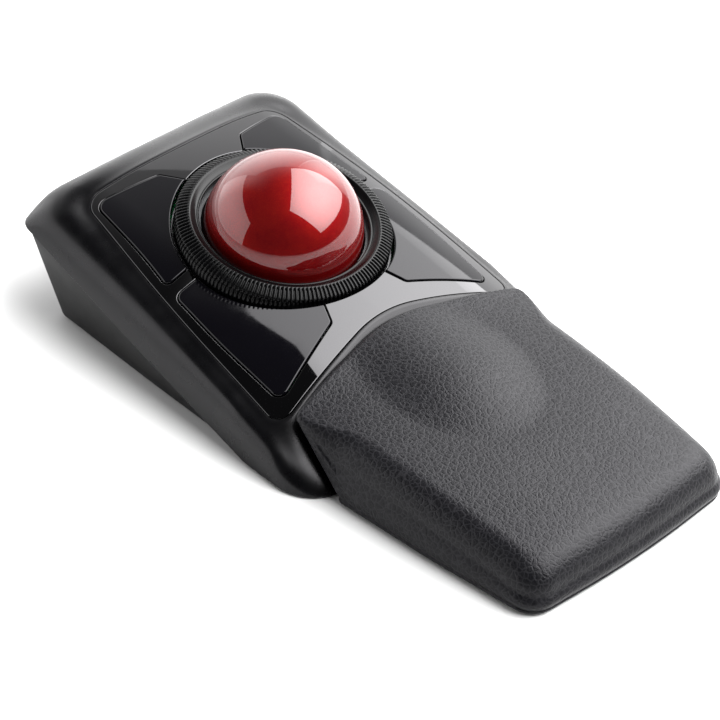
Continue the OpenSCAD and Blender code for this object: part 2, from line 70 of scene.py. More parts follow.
# ---- driving sizes ------------------------------------------------------------------------
MM = 0.001
TILT = radians(10)
BALL_SINK = 3.19
HOLE_R, RING_R, RING_LIP_R = 38, 37.2, 29.2
CROWN_RU, CROWN_RV = 130, 900  # the plate's crown across and lengthwise
GLOSS_RU, GLOSS_RV = 420, 485  # the flatter curve that the middle of the plate shines with
SIDE_STEEPER = 0.014  # how much faster the shine turns near its sides, per millimetre
SIDE_AT_V, SIDE_FROM_U = (-42, -2, 4), (29, 43, 34)  # where that begins
SIDE_TWIST = (-0.014, 0.026, 0)  # how the left side's shine leans, front to back
PLATE_T, WALL, RIM_W, GAP, BUTTON_RISE = 2.4, 2.4, 1.2, 0.35, 0.5
CAP_LIFT = 0.3  # how far a button's underside stands over the plate's
FOOT_H, FLOOR_T, LIP_H = 1, 2, 0.6
PART_RISE, PART_Y = 0.262, -51.5  # the case's parting line rises from here
SHOULDER_RISE, SHOULDER_Z = 0.225, 22.4

ball_low, ball_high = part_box("trackball")
BALL_R = (ball_high.x - ball_low.x) / 2 / MM
BALL_Z = (ball_high.z + ball_low.z) / 2 / MM
RING_Y = (ball_high.y + ball_low.y) / 2 / MM - BALL_SINK * sin(TILT)
PLATE_Z = BALL_Z + BALL_SINK * cos(TILT)
FRONT_Y = RING_Y - cad_box[0].y / MM
BACK_Y = cad_box[1].y / MM - RING_Y

# Right half of each outline, back to front: x, y, corner radius
PLATE = [(0, 48.9, 200), (43.8, 52.3, 7), (51.6, -2, 600), (54.6, -60.8, 5), (0, -47.8, 55)]
SHOULDER = [(0, 67, 400), (56, 68.8, 15), (59.5, 0, 600), (62.8, -79.5, 14), (0, -71, 100)]
LIP = [(0, BACK_Y, 400), (59.2, BACK_Y - 0.2, 5), (61.5, 0, 600), (62.8, -82, 16), (0, -78, 100)]
BASE = [(0, 53.2, 400), (57, 53, 5), (58.5, 0, 600), (59.3, -77.5, 13), (0, -68, 100)]
SKIRT = [(0, 68.1, 400), (57.8, 67.8, 4), (59.9, 0, 600), (59.3, -77.5, 13), (0, -68, 100)]
REST_LOW = [(0, -78.6, 100), (53, -82.4, 3), (50.4, -122, 300), (45.9, -163.6, 9),
            (0, -FRONT_Y - 0.68, 400)]
REST_EDGE = [(0, -49.0, 100), (52.3, -61.4, 3), (48.6, -122, 300), (45.2, -163, 9),
             (0, -FRONT_Y, 400)]
LOWER_BUTTON = [(28, 0.3, 0.5), (47.4, 0.2, 2.8), (48.8, -24, 300), (48.5, -54.2, 3),
                (17.3, -42.6, 2.2), (9.2, -24, 0.5)]
UPPER_BUTTON = [(8.5, 28.6, 0.5), (18.8, 43.2, 2.4), (41.9, 48.5, 3.6), (44.4, 20, 300),
                (46.7, 5.4, 2), (28, 6.2, 0.5)]


# ---- outlines -----------------------------------------------------------------------------
def unit(v):
    return v / np.linalg.norm(v)


def left_of(v):
    return np.array([-v[1], v[0]])


def mirrored(half):
    """A closed outline from its right half."""
    return list(half) + [(-x, y, r) for x, y, r in half[-2:0:-1]]


def neighbours(points, i):
    return [np.array(points[k % len(points)][:2], float) for k in (i - 1, i, i + 1)]


def grow(points, d):
    """Moves each side of a clockwise outline outwards by d."""
    out = []
    for i in range(len(points)):
        a, p, b = neighbours(points, i)
        e1, e2 = unit(p - a), unit(b - p)
        n1, n2 = left_of(e1), left_of(e2)
        q = p + d * (n1 + n2) / (1 + n1 @ n2)
        convex = e1[0] * e2[1] - e1[1] * e2[0] < 0
        out.append((q[0], q[1], max(0.3, points[i][2] + (d if convex else -d))))
    return out


def corner_arcs(points, arc):
    """The arc of each corner of an outline, as arc + 1 points."""
    arcs = []
    for i in range(len(points)):
        a, p, b = neighbours(points, i)
        ua, ub, r = unit(a - p), unit(b - p), points[i][2]
        half = np.arccos(np.clip(ua @ ub, -1, 1)) / 2
        centre = p + unit(ua + ub) * r / sin(half)
        first = p + ua * r / tan(half) - centre
        last = p + ub * r / tan(half) - centre
        start = atan2(first[1], first[0])
        sweep = (atan2(last[1], last[0]) - start + pi) % (2 * pi) - pi
        turns = [start + sweep * k / arc for k in range(arc + 1)]
        arcs.append([centre + r * np.array([cos(t), sin(t)]) for t in turns])
    return arcs


def rounded(points, arc=10, side=6):
    """Points along an outline: each corner an arc, each stretch between them in equal steps."""
    arcs = corner_arcs(points, arc)
    out = []
    for i, points_here in enumerate(arcs):
        nxt = arcs[(i + 1) % len(arcs)][0]
        out += points_here
        out += [points_here[-1] + (nxt - points_here[-1]) * k / side for k in range(1, side)]
    return np.array(out)


def evenly(line, count):
    """Points at equal distances along an open line, its last point left out."""
    line = np.array(line)
    reach = np.concatenate([[0], np.cumsum(np.linalg.norm(np.diff(line, axis=0), axis=1))])
    at = np.linspace(0, reach[-1], count + 1)[:-1]
    return np.stack([np.interp(at, reach, line[:, 0]), np.interp(at, reach, line[:, 1])], 1)


def outline(half, d=0.0, corner=12, run=40):
    """A mirrored outline whose points match from one outline to the next: corner steps round
    each of the four real corners and run steps along each side between them."""
    arcs = corner_arcs(grow(mirrored(half), d), 24)
    out = []
    for i in range(1, len(arcs), 2):
        middle, nxt = arcs[(i + 1) % len(arcs)], arcs[(i + 2) % len(arcs)]
        out.append(evenly(arcs[i], corner))
        out.append(evenly([arcs[i][-1]] + middle + [nxt[0]], run))
    return np.concatenate(out)


def moved_out(loop, d):
    """A dense clockwise loop with each point moved outwards by d."""
    before, after = np.roll(loop, 1, 0), np.roll(loop, -1, 0)
    e1 = (loop - before) / np.linalg.norm(loop - before, axis=1)[:, None]
    e2 = (after - loop) / np.linalg.norm(after - loop, axis=1)[:, None]
    n1 = np.stack([-e1[:, 1], e1[:, 0]], 1)
    n2 = np.stack([-e2[:, 1], e2[:, 0]], 1)
    return loop + d * (n1 + n2) / np.maximum(0.5, 1 + (n1 * n2).sum(1))[:, None]


def inset(loop, depth):
    """The loop moved inwards by a depth of its own at each point, drawn in towards its middle."""
    middle = np.array([0, loop[:, 1].mean()])
    half = np.array([np.abs(loop[:, 0]).max(), np.ptp(loop[:, 1]) / 2])
    reach = (loop - middle) / half
    return loop - reach * depth[:, None]


# ---- surfaces -----------------------------------------------------------------------------
def crown(u, v):
    """Height of the plate's crowned top, 0 in its middle."""
    across = CROWN_RV - CROWN_RU + np.sqrt(CROWN_RU ** 2 - u * u)
    return np.sqrt(across ** 2 - v * v) - CROWN_RV


def on_plate(u, v, w):
    """Plate coordinates to the row frame, for numbers or arrays."""
    u = np.asarray(u, float)
    return np.stack([u + 0 * (v + w), RING_Y + v * cos(TILT) - w * sin(TILT),
                     PLATE_Z + v * sin(TILT) + w * cos(TILT) + 0 * u], -1)


def on_crown(p, w):
    """Flat points of the plate, raised w over its crown, in the row frame."""
    return on_plate(p[:, 0], p[:, 1], crown(p[:, 0], p[:, 1]) + w)


def at_ring(p, z):
    """Flat points, counted from the ring's centre, at a height, in the row frame."""
    return np.stack([p[:, 0], RING_Y + p[:, 1], z + 0 * p[:, 0]], -1)


def part_height(y, least=-np.inf):
    """Height of the case's parting line, and no lower than the least."""
    return np.maximum(least, PART_RISE * (y - PART_Y))


def shoulder_height(y):
    return SHOULDER_Z + SHOULDER_RISE * y


def eased(t):
    """0 to 1 with a soft start and end."""
    t = np.clip(t, 0, 1)
    return t * t * (3 - 2 * t)


# ---- mesh building ------------------------------------------------------------------------
def quads(rings, count, closed=False):
    """Faces between rings of count points each; closed also joins the last ring to the first."""
    steps = rings if closed else rings - 1
    faces = []
    for k in range(steps):
        a, b = k * count, (k + 1) % rings * count
        faces += [(a + i, a + (i + 1) % count, b + (i + 1) % count, b + i) for i in range(count)]
    return faces


def skinned(rings, closed=False, low_cap=True, high_cap=True):
    """Vertices and faces of a surface over rings of equal length."""
    count = len(rings[0])
    verts = np.concatenate(rings)
    faces = quads(len(rings), count, closed)
    if not closed and low_cap:
        faces.append(tuple(range(count - 1, -1, -1)))
    if not closed and high_cap:
        faces.append(tuple(range(len(verts) - count, len(verts))))
    return verts, faces


def joined(parts):
    """Several (vertices, faces) as one."""
    verts, faces, base = [], [], 0
    for v, f in parts:
        verts.append(np.asarray(v, float))
        faces += [tuple(i + base for i in face) for face in f]
        base += len(v)
    return np.concatenate(verts), faces


def mesh_object(name, verts, faces):
    mesh = bpy.data.meshes.new(name)
    mesh.from_pydata((np.asarray(verts) * MM).tolist(), [], faces)
    bm = bmesh.new()
    bm.from_mesh(mesh)
    bmesh.ops.remove_doubles(bm, verts=bm.verts, dist=1e-7)
    bmesh.ops.recalc_face_normals(bm, faces=bm.faces)
    bm.to_mesh(mesh)
    bm.free()
    obj = bpy.data.objects.new(name, mesh)
    bpy.context.scene.collection.objects.link(obj)
    return obj


def baked(obj):
    """Applies the object's modifiers."""
    graph = bpy.context.evaluated_depsgraph_get()
    graph.update()
    mesh = bpy.data.meshes.new_from_object(obj.evaluated_get(graph))
    obj.modifiers.clear()
    old, obj.data = obj.data, mesh
    bpy.data.meshes.remove(old)
    mesh.name = obj.name
    return obj


def cut(obj, cutters, operation="DIFFERENCE"):
    """Cuts closed (vertices, faces) shapes out of an object, or joins them to it."""
    for verts, faces in cutters:
        tool = mesh_object("cutter", verts, faces)
        change = obj.modifiers.new("cut", "BOOLEAN")
        change.operation = operation
        change.solver = "MANIFOLD"
        change.object = tool
        baked(obj)
        bpy.data.objects.remove(tool)
    return obj


def shaded(obj, sharp=40):
    obj.data.polygons.foreach_set("use_smooth", [True] * len(obj.data.polygons))
    obj.data.set_sharp_from_angle(angle=radians(sharp))
    return obj


def finished(obj, body, material, stands_for=(), sharp=40):
    """Shades a piece, gives it its material and puts it on its body."""
    shaded(obj, sharp)
    obj.data.materials.clear()
    obj.data.materials.append(material)
    if stands_for:
        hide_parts(*stands_for)
    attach(obj, body)
    return obj


def piece(name, shape, body, material, stands_for=(), sharp=40):
    return finished(mesh_object(name, *shape), body, material, stands_for, sharp)


def block(low, high):
    """A box as (vertices, faces), from two corners."""
    around = [(low[0], low[1]), (high[0], low[1]), (high[0], high[1]), (low[0], high[1])]
    corners = [(x, y, z) for z in (low[2], high[2]) for x, y in around]
    faces = [(3, 2, 1, 0), (4, 5, 6, 7), (0, 1, 5, 4), (1, 2, 6, 5), (2, 3, 7, 6), (3, 0, 4, 7)]
    return np.array(corners, float), faces


def centred_block(size, centre):
    size, centre = np.array(size, float), np.array(centre, float)
    return block(centre - size / 2, centre + size / 2)


def lathe(profile, segments=64, centre=(0, 0, 0)):
    """A closed solid turned about a vertical line, from (radius, height) pairs, bottom first."""
    turns = np.arange(segments) * -2 * pi / segments
    rings = [np.stack([r * np.cos(turns) + centre[0], r * np.sin(turns) + centre[1],
                       np.full(segments, h + centre[2])], 1) for r, h in profile]
    return skinned(rings)


def bezier(a, c, b, steps):
    """Points from a to b bent by c, ends included."""
    return [(1 - t) ** 2 * a + 2 * t * (1 - t) * c + t * t * b
            for t in (k / steps for k in range(steps + 1))]


def smooth_line(points, blur=5.0):
    """A height line through points (y, z) with its bends smoothed, as a function of y."""
    ys = np.arange(-200, 0, 0.5)
    zs = np.interp(ys, [p[0] for p in points], [p[1] for p in points])
    reach = np.arange(-3 * blur, 3 * blur + 0.5, 0.5)
    weights = np.exp(-reach ** 2 / (2 * blur ** 2))
    pad = len(reach) // 2
    zs = np.convolve(np.pad(zs, pad, mode="edge"), weights / weights.sum(), "valid")
    return lambda y: np.interp(y, ys, zs)


# ---- materials ----------------------------------------------------------------------------
COOL = (0.985, 0.97, 1.0, 1.0)  # the faint blue of the plastics' and leather's shine


class Shader:
    """A material's node tree with short ways to add to it."""

    def __init__(self, name, color, roughness, **inputs):
        self.material = bpy.data.materials.new(name)
        self.material.use_nodes = True
        self.tree = self.material.node_tree
        self.bsdf = self.tree.nodes["Principled BSDF"]
        self.set(**{"Base Color": (*color, 1), "Roughness": roughness})
        self.set(**{k.replace("_", " "): v for k, v in inputs.items()})
        self.place = self.add("ShaderNodeTexCoord").outputs["Object"]
        self.bump_from = None

    def set(self, **inputs):
        for key, value in inputs.items():
            self.bsdf.inputs[key].default_value = value

    def add(self, kind, inputs=(), **settings):
        node = self.tree.nodes.new(kind)
        for key, value in settings.items():
            setattr(node, key, value)
        for key, value in dict(inputs).items():
            if isinstance(value, bpy.types.NodeSocket):
                self.tree.links.new(value, node.inputs[key])
            else:
                node.inputs[key].default_value = value
        return node

    def noise(self, size, detail=3.0, rough=0.5, at=None):
        """Noise with features about size millimetres across."""
        return self.add("ShaderNodeTexNoise", {"Vector": at or self.place, "Scale": 1 / (size * MM),
                                               "Detail": detail, "Roughness": rough}).outputs["Fac"]

    def cells(self, size, feature="F1", at=None, jitter=1.0):
        node = self.add("ShaderNodeTexVoronoi", {"Vector": at or self.place,
                                                 "Scale": 1 / (size * MM), "Randomness": jitter},
                        feature=feature)
        return node.outputs["Distance"]

    def mapped(self, value, low, high, to_low=0.0, to_high=1.0):
        spans = {"From Min": low, "From Max": high, "To Min": to_low, "To Max": to_high}
        return self.add("ShaderNodeMapRange", {"Value": value, **spans}).outputs["Result"]

    def math(self, operation, a, b=0.0):
        return self.add("ShaderNodeMath", {0: a, 1: b}, operation=operation).outputs["Value"]

    def vector(self, operation, a, b):
        return self.add("ShaderNodeVectorMath", {0: a, 1: b}, operation=operation).outputs["Vector"]

    def mix(self, factor, a, b):
        node = self.add("ShaderNodeMix", {"Factor": factor}, data_type="RGBA")
        for key, value in ((6, a), (7, b)):
            if isinstance(value, bpy.types.NodeSocket):
                self.tree.links.new(value, node.inputs[key])
            else:
                node.inputs[key].default_value = (*value, 1)
        return node.outputs[2]

    def link(self, value, key):
        self.tree.links.new(value, self.bsdf.inputs[key])

    def bump(self, height, depth, strength=1.0):
        """Adds a relief of depth millimetres over those added before it."""
        inputs = {"Height": height, "Distance": depth * MM, "Strength": strength}
        if self.bump_from:
            inputs["Normal"] = self.bump_from
        self.bump_from = self.add("ShaderNodeBump", inputs).outputs["Normal"]
        self.link(self.bump_from, "Normal")


def moulded(name, color, roughness, grain=0.22, depth=0.006, **inputs):
    """Moulded plastic with a fine spark-eroded texture."""
    s = Shader(name, color, roughness, **inputs)
    s.link(s.mapped(s.noise(9, 3), 0.3, 0.7, roughness - 0.04, roughness + 0.05), "Roughness")
    s.link(s.mix(s.noise(14, 3), [c * 0.9 for c in color], [c * 1.12 for c in color]), "Base Color")
    s.bump(s.noise(grain, 2), depth)
    return s.material


def polished(name, color, roughness, **inputs):
    """Polished plastic: a very faint waviness and a few dust-fine changes of gloss."""
    s = Shader(name, color, roughness, **inputs)
    s.link(s.mapped(s.noise(5, 4), 0.35, 0.75, roughness * 0.7, roughness * 1.5), "Roughness")
    s.link(s.mix(s.noise(20, 2), color, [c * 1.2 for c in color]), "Base Color")
    s.bump(s.noise(12, 1), 0.01)
    return s.material


def pearl():
    """Deep red pearl paint with fine flakes under a clear coat."""
    s = Shader("ball_pearl", (0.12, 0.002, 0.003), 0.5, Metallic=0.5, Coat_Weight=1.0,
               Coat_Roughness=0.012, Coat_IOR=1.5, Specular_IOR_Level=0.0)
    spark = s.mapped(s.cells(0.32), 0.0, 0.35, 1.0, 0.0)
    cloud = s.mapped(s.noise(9, 4, 0.6), 0.35, 0.7)
    deep = s.mix(cloud, (0.105, 0.0012, 0.0024), (0.13, 0.003, 0.0028))
    s.link(s.mix(s.math("MULTIPLY", spark, 0.30), deep, (0.45, 0.04, 0.008)), "Base Color")
    s.link(s.mapped(s.noise(0.35, 2), 0.3, 0.7, 0.36, 0.48), "Roughness")
    s.bump(s.noise(0.3, 2), 0.004, 0.6)
    return s.material


def leather():
    """Charcoal leather: pebbles with creases between them, and fine pores. The creases' pale lines
    are painted highlight, the light that the pebbles' edges catch.
    """
    s = Shader("rest_leather_grain", (0.005, 0.005, 0.006), 0.33, Specular_IOR_Level=0.135,
               Specular_Tint=COOL)
    push = s.add("ShaderNodeTexNoise", {"Vector": s.place, "Scale": 1 / (2.2 * MM), "Detail": 2.0})
    shift = s.vector("MULTIPLY", push.outputs["Color"], (0.9 * MM, 0.9 * MM, 0.9 * MM))
    warped = s.vector("ADD", s.place, shift)
    big = s.cells(2.0, "DISTANCE_TO_EDGE", warped)
    small = s.cells(0.95, "DISTANCE_TO_EDGE", warped)
    # painted highlight: the pale lines along the creases stand in for light caught by the pebbles'
    # edges
    big_crease_highlight = s.mapped(big, 0.01, 0.10, 1.0, 0.0)
    small_crease_highlight = s.mapped(small, 0.01, 0.12, 1.0, 0.0)
    painted_crease_highlight = s.math("MAXIMUM", big_crease_highlight, s.math("MULTIPLY", small_crease_highlight, 0.4))
    body = s.mix(s.noise(16, 3), (0.0030, 0.0030, 0.0038), (0.0044, 0.0044, 0.0054))
    # the pale crease colour mixed in here is painted highlight over the leather's dark body
    s.link(s.mix(painted_crease_highlight, body, (0.0150, 0.0148, 0.0166)), "Base Color")
    s.link(s.mapped(s.noise(1.1, 3), 0.3, 0.7, 0.28, 0.37), "Roughness")
    s.bump(s.mapped(big, 0.0, 0.22), 0.06)
    s.bump(s.mapped(small, 0.0, 0.22), 0.025)
    s.bump(s.noise(0.25, 2), 0.01)
    return s.material


def rubber():
    s = Shader("foot_rubber", (0.035, 0.035, 0.037), 0.75)
    s.link(s.mix(s.noise(3, 4), (0.028, 0.028, 0.03), (0.05, 0.05, 0.052)), "Base Color")
    s.bump(s.noise(0.3, 3), 0.02)
    return s.material


def metal(name, color, roughness, scratch=0.15):
    """Plated metal with fine brushing along X."""
    s = Shader(name, color, roughness, Metallic=1.0)
    lines = s.noise(scratch, 3, 0.6, s.vector("MULTIPLY", s.place, (0.06, 1.0, 1.0)))
    s.link(s.mapped(lines, 0.3, 0.7, roughness * 0.7, roughness * 1.4), "Roughness")
    s.bump(lines, 0.003)
    return s.material


def circuit():
    """Green solder mask with faint tracks and pale pads."""
    s = Shader("board_mask", (0.01, 0.12, 0.04), 0.3, Coat_Weight=0.4)
    tracks = s.mapped(s.cells(2.4, "DISTANCE_TO_EDGE", jitter=0.35), 0.0, 0.06, 1.0, 0.0)
    pads = s.mapped(s.cells(3.1, jitter=0.2), 0.10, 0.14, 1.0, 0.0)
    board = s.mix(s.math("MULTIPLY", tracks, 0.6), (0.008, 0.10, 0.03), (0.02, 0.24, 0.08))
    s.link(s.mix(pads, board, (0.55, 0.52, 0.45)), "Base Color")
    s.bump(tracks, 0.03)
    return s.material


def foam_cells():
    s = Shader("rest_foam_cells", (0.50, 0.47, 0.36), 0.9)
    s.link(s.mix(s.noise(2, 4), (0.42, 0.39, 0.30), (0.58, 0.55, 0.44)), "Base Color")
    s.bump(s.cells(0.7), 0.15)
    return s.material


def cell_can():
    """Printed can of a dry cell: bands along its length over bare metal, with no lettering."""
    s = Shader("cell_can", (0.40, 0.26, 0.06), 0.28, Metallic=0.85)
    along = s.add("ShaderNodeSeparateXYZ", {"Vector": s.place}).outputs["X"]
    dark = s.mapped(along, 0.0049, 0.0051, 1.0, 0.0)
    s.link(s.mix(dark, (0.62, 0.40, 0.08), (0.02, 0.02, 0.022)), "Base Color")
    s.link(s.mapped(s.noise(2, 3), 0.3, 0.7, 0.2, 0.36), "Roughness")
    s.bump(s.noise(6, 2), 0.02)
    return s.material


def clear_lens():
    s = Shader("lens_clear", (0.85, 0.92, 0.95), 0.04, Transmission_Weight=0.9, IOR=1.49)
    s.link(s.mapped(s.noise(3, 2), 0.3, 0.7, 0.02, 0.07), "Roughness")
    return s.material


MATERIAL = {
    "shell": moulded("shell_satin", (0.0008, 0.0008, 0.0011), 0.28, Specular_IOR_Level=0.25,
                     Specular_Tint=COOL),
    "base": moulded("base_matt", (0.0012, 0.0012, 0.0014), 0.40, Specular_IOR_Level=0.28),
    "bezel": polished("bezel_gloss", (0.0005, 0.0005, 0.0006), 0.03, IOR=1.5, Specular_Tint=COOL),
    "button": polished("button_gloss", (0.0012, 0.0011, 0.0017), 0.06, Specular_IOR_Level=0.21,
                       Specular_Tint=COOL),
    "ball": pearl(),
    "ring": moulded("ring_satin", (0.0014, 0.0014, 0.0016), 0.22, 0.12, 0.003,
                    Specular_IOR_Level=0.15),
    "inner_plastic": moulded("inner_plastic", (0.03, 0.03, 0.033), 0.5),
    "guide": moulded("guide_acetal", (0.30, 0.30, 0.31), 0.4),
    "bearing": polished("bearing_ceramic", (0.80, 0.79, 0.75), 0.08),
    "lens": clear_lens(),
    "chip": moulded("chip_epoxy", (0.012, 0.012, 0.013), 0.45, 0.1, 0.004),
    "board": circuit(),
    "switch": moulded("switch_body", (0.03, 0.03, 0.033), 0.4),
    "plunger": polished("plunger_red", (0.40, 0.03, 0.02), 0.2),
    "steel": metal("steel_zinc", (0.55, 0.55, 0.57), 0.3),
    "spring": metal("spring_nickel", (0.72, 0.71, 0.68), 0.16, 0.08),
    "cell": cell_can(),
    "ribbon": polished("ribbon_film", (0.62, 0.62, 0.58), 0.3),
    "knob": moulded("knob_plastic", (0.06, 0.06, 0.065), 0.42),
    "foot": rubber(),
    "leather": leather(),
    "foam": foam_cells(),
    "tray": moulded("tray_plastic", (0.014, 0.014, 0.016), 0.48),
}


def dress_cad_nodes():
    """Gives every CAD node that is kept its slot's procedural material."""
    slots = {s["node"]: s["material_slot"] for s in frame["record"]["subparts"]}
    for name, node in frame["nodes"].items():
        node.data.materials.clear()
        node.data.materials.append(MATERIAL[slots[name]])


dress_cad_nodes()


# ---- case ---------------------------------------------------------------------------------
FOOT_R = 6
FOOT_PLACES = [(-46, 44), (46, 44), (-47, -64), (47, -64), (0, -58)]
SCREW_PLACES = [(-50, 20), (50, 20), (-52, -50), (52, -50)]
POST_PLACES = [(-20, -8), (20, -8), (0, 13)]
SCREW_HEAD_R = 2.6
HOOK_X, HOOK_Y, HOOK_Z = 30, -77, 5
HOOK = (8, 16, 3)
DOOR, DOOR_Y, DOOR_GAP = (56, 31, 1.6), 35.5, 0.4
SLIDER, SLIDER_AT, SLIDER_TRAVEL = (5, 4.6, 2), (-28, -44), 3
PAIR_AT, PAIR_R = (-10, -44), 2.6
BAY_AT, BAY, BAY_H, BAY_WALL = (41, 31), (12.8, 5.3), 20, 1.5
SIDE_BULGE, BACK_BULGE = 0.12, 0.15  # of the band's width
BACK_FROM, BACK_RUN = 30, 30  # where the back's bulge takes over from the side's
FLAT_UNTIL, FLAT_RUN = -72, 26  # the shoulders are flat at the front
TURN_DOWN, TURN_UP = 7.5, 8  # how far the shoulder's round reaches down and up


def outward(rings_low, rings_high):
    """Unit normals, out of the body, of the band between two rings."""
    along = np.roll(rings_low, -1, 0) - np.roll(rings_low, 1, 0)
    n = np.cross(rings_high - rings_low, along)
    return n / np.linalg.norm(n, axis=1)[:, None]


def case_top():
    lip2, shoulder2, edge2 = outline(LIP), outline(SHOULDER), outline(PLATE, 0.1)
    lip = at_ring(lip2, part_height(lip2[:, 1], LIP_H))
    shoulder = at_ring(shoulder2, shoulder_height(shoulder2[:, 1]))
    rim, edge = on_crown(outline(PLATE, RIM_W), 0), on_crown(edge2, 0)

    down, up = lip - shoulder, rim - shoulder
    down_l, up_l = (np.linalg.norm(v, axis=1)[:, None] for v in (down, up))
    below = shoulder + down * np.minimum(0.8, TURN_DOWN / down_l)
    above = shoulder + up * np.minimum(0.45, TURN_UP / up_l)
    normal = outward(shoulder, rim)
    y = (shoulder[:, 1] - RING_Y)[:, None]
    at_back = eased((y - BACK_FROM) / BACK_RUN)
    at_side = np.clip((y - FLAT_UNTIL) / FLAT_RUN, 0, 1)
    bulge = up_l * (SIDE_BULGE + (BACK_BULGE - SIDE_BULGE) * at_back) * at_side

    def swollen(points, t):
        """Pushes points outwards; t runs from 0 at the lip to 1 at the rim."""
        return points + normal * bulge * (sin(pi * t) ** 1.3)

    turn = bezier(below, shoulder, above, 10)
    turn = [swollen(p, 0.08 + 0.42 * k / 10) for k, p in enumerate(turn)]
    band = [swollen(above + (rim - above) * k / 12, 0.5 + 0.5 * k / 12) for k in range(1, 12)]
    across, last = edge - rim, band[-1] - rim
    near_rim = rim + last * np.minimum(1, 0.5 / np.linalg.norm(last, axis=1)[:, None])
    crest = bezier(near_rim, rim, rim + across * 0.45, 4)
    fall = bezier(edge - across * 0.25, edge, edge - np.array([0, 0, 0.35]), 3)

    lip_in2, floor2, inner2 = outline(LIP, -0.4), outline(LIP, -WALL), outline(SHOULDER, -WALL)
    lip_low = at_ring(lip_in2, part_height(lip_in2[:, 1], LIP_H))
    lip_up = lip + (shoulder - lip) * np.minimum(0.3, 0.6 / down_l)
    lip_turn = bezier(lip_low, lip, lip_up, 3)
    inner_low = at_ring(floor2, part_height(floor2[:, 1], LIP_H))
    inner_shoulder = at_ring(inner2, shoulder_height(inner2[:, 1]) - WALL)
    inner_edge = on_crown(edge2, -WALL - 1)
    rings = [inner_low] + lip_turn + turn + band[:-1] + crest + fall + [inner_edge, inner_shoulder]
    obj = mesh_object("case_top", *skinned(rings, closed=True))
    cut(obj, [centred_block([s + 0.8 for s in HOOK], (side * HOOK_X, RING_Y + HOOK_Y, HOOK_Z))
              for side in (-1, 1)])
    return finished(obj, "case", MATERIAL["shell"], ["top_shell"], 35)


def case_bottom():
    floor_top = FOOT_H + FLOOR_T
    rings = [at_ring(outline(BASE, d), FOOT_H + z) for d, z in ((-1.1, 0), (-0.35, 0.25), (0, 1))]
    wall = outline(SKIRT)
    wall_z = np.maximum(floor_top, part_height(wall[:, 1]) - 0.7)
    wall_top = at_ring(wall, wall_z)
    rings += [rings[2] + (wall_top - rings[2]) * t for t in (0.15, 0.35, 0.55, 0.75, 0.94)]
    tongue = outline(SKIRT, -1.0)
    rings += [at_ring(outline(SKIRT, -0.35), wall_z), at_ring(tongue, wall_z + 0.1),
              at_ring(tongue, wall_z + 1.4)]
    obj = mesh_object("case_bottom", *skinned(rings))

    upper = outline(SKIRT, -WALL)
    hollow = skinned([at_ring(outline(BASE, -WALL), floor_top),
                      at_ring(upper, part_height(upper[:, 1], floor_top) + 3)])
    cut(obj, [hollow])
    bay = [centred_block((BAY[0] + 2 * BAY_WALL, BAY[1] + 2 * BAY_WALL, BAY_H - FLOOR_T),
                         (BAY_AT[0], RING_Y + BAY_AT[1], FOOT_H + (FLOOR_T + BAY_H) / 2))]
    cut(obj, bay, "UNION")

    def hole(size, at, top=9):
        return centred_block((*size, 2 * top), (at[0], RING_Y + at[1], 0))

    def drill(r, at, top=9):
        return lathe([(r, -1), (r, top)], 48, (at[0], RING_Y + at[1], 0))

    holes = [hole((DOOR[0] + 2 * DOOR_GAP, DOOR[1] + 2 * DOOR_GAP), (0, DOOR_Y)),
             hole((SLIDER[0] + SLIDER_TRAVEL + 0.8, SLIDER[1] + 0.8),
                  (SLIDER_AT[0] + SLIDER_TRAVEL / 2, SLIDER_AT[1])),
             hole(BAY, BAY_AT, BAY_H - 0.5), drill(PAIR_R + GAP, PAIR_AT)]
    holes += [drill(FOOT_R + 0.2, p, FOOT_H + 0.4) for p in FOOT_PLACES]
    holes += [drill(SCREW_HEAD_R + 0.1, p) for p in SCREW_PLACES + POST_PLACES]
    # finger notch before the door
    holes.append(lathe([(5, -1), (7, FOOT_H + 1.2)], 48, (0, RING_Y + DOOR_Y - DOOR[1] / 2, 0)))
    cut(obj, holes)
    return finished(obj, "case", MATERIAL["base"], ["bottom_case"], 32)


case_top()
case_bottom()


# ---- plate and buttons --------------------------------------------------------------------
def outside_circle(loop, r):
    """The stretch of a dense loop outside a circle, from where it leaves to where it returns."""
    out = np.linalg.norm(loop, axis=1) > r
    n = len(loop)
    start = next(i for i in range(n) if out[i] and not out[i - 1])
    run, i = [], start
    while out[i % n]:
        run.append(loop[i % n])
        i += 1

    def crossing(a, b):
        low, high = 0.0, 1.0
        for _ in range(40):
            mid = (low + high) / 2
            if np.linalg.norm(a + mid * (b - a)) < r:
                low = mid
            else:
                high = mid
        return a + high * (b - a)

    return np.array([crossing(loop[start - 1], loop[start])] + run
                    + [crossing(loop[i % n], loop[(i - 1) % n])])


def arc_between(a, b, r, step=1.0):
    """Points on a circle strictly between a and b, the short way."""
    start = atan2(a[1], a[0])
    sweep = (atan2(b[1], b[0]) - start + pi) % (2 * pi) - pi
    count = max(2, int(abs(sweep) * r / step))
    return np.array([[r * cos(start + sweep * k / count), r * sin(start + sweep * k / count)]
                     for k in range(1, count)])


def divided(loop, step=0.8):
    """A closed loop with points added on its long stretches."""
    out = []
    for a, b in zip(loop, np.roll(loop, -1, 0)):
        count = max(1, int(np.linalg.norm(b - a) / step))
        out += [a + (b - a) * k / count for k in range(count)]
    return np.array(out)


def button_outline(shape, right, d=0.0):
    loop = rounded(grow(shape, d), 8, 4)
    if not right:
        loop = (loop * [-1, 1])[::-1]
    return loop


def inside(points, loop):
    """Which points lie within a closed loop."""
    x, y = points[:, 0][:, None], points[:, 1][:, None]
    x1, y1 = loop[:, 0], loop[:, 1]
    x2, y2 = np.roll(x1, -1), np.roll(y1, -1)
    crosses = (y1 > y) != (y2 > y)
    at = x1 + (y - y1) * (x2 - x1) / np.where(y2 == y1, 1e-9, y2 - y1)
    return (crosses & (x < at)).sum(1) % 2 == 1


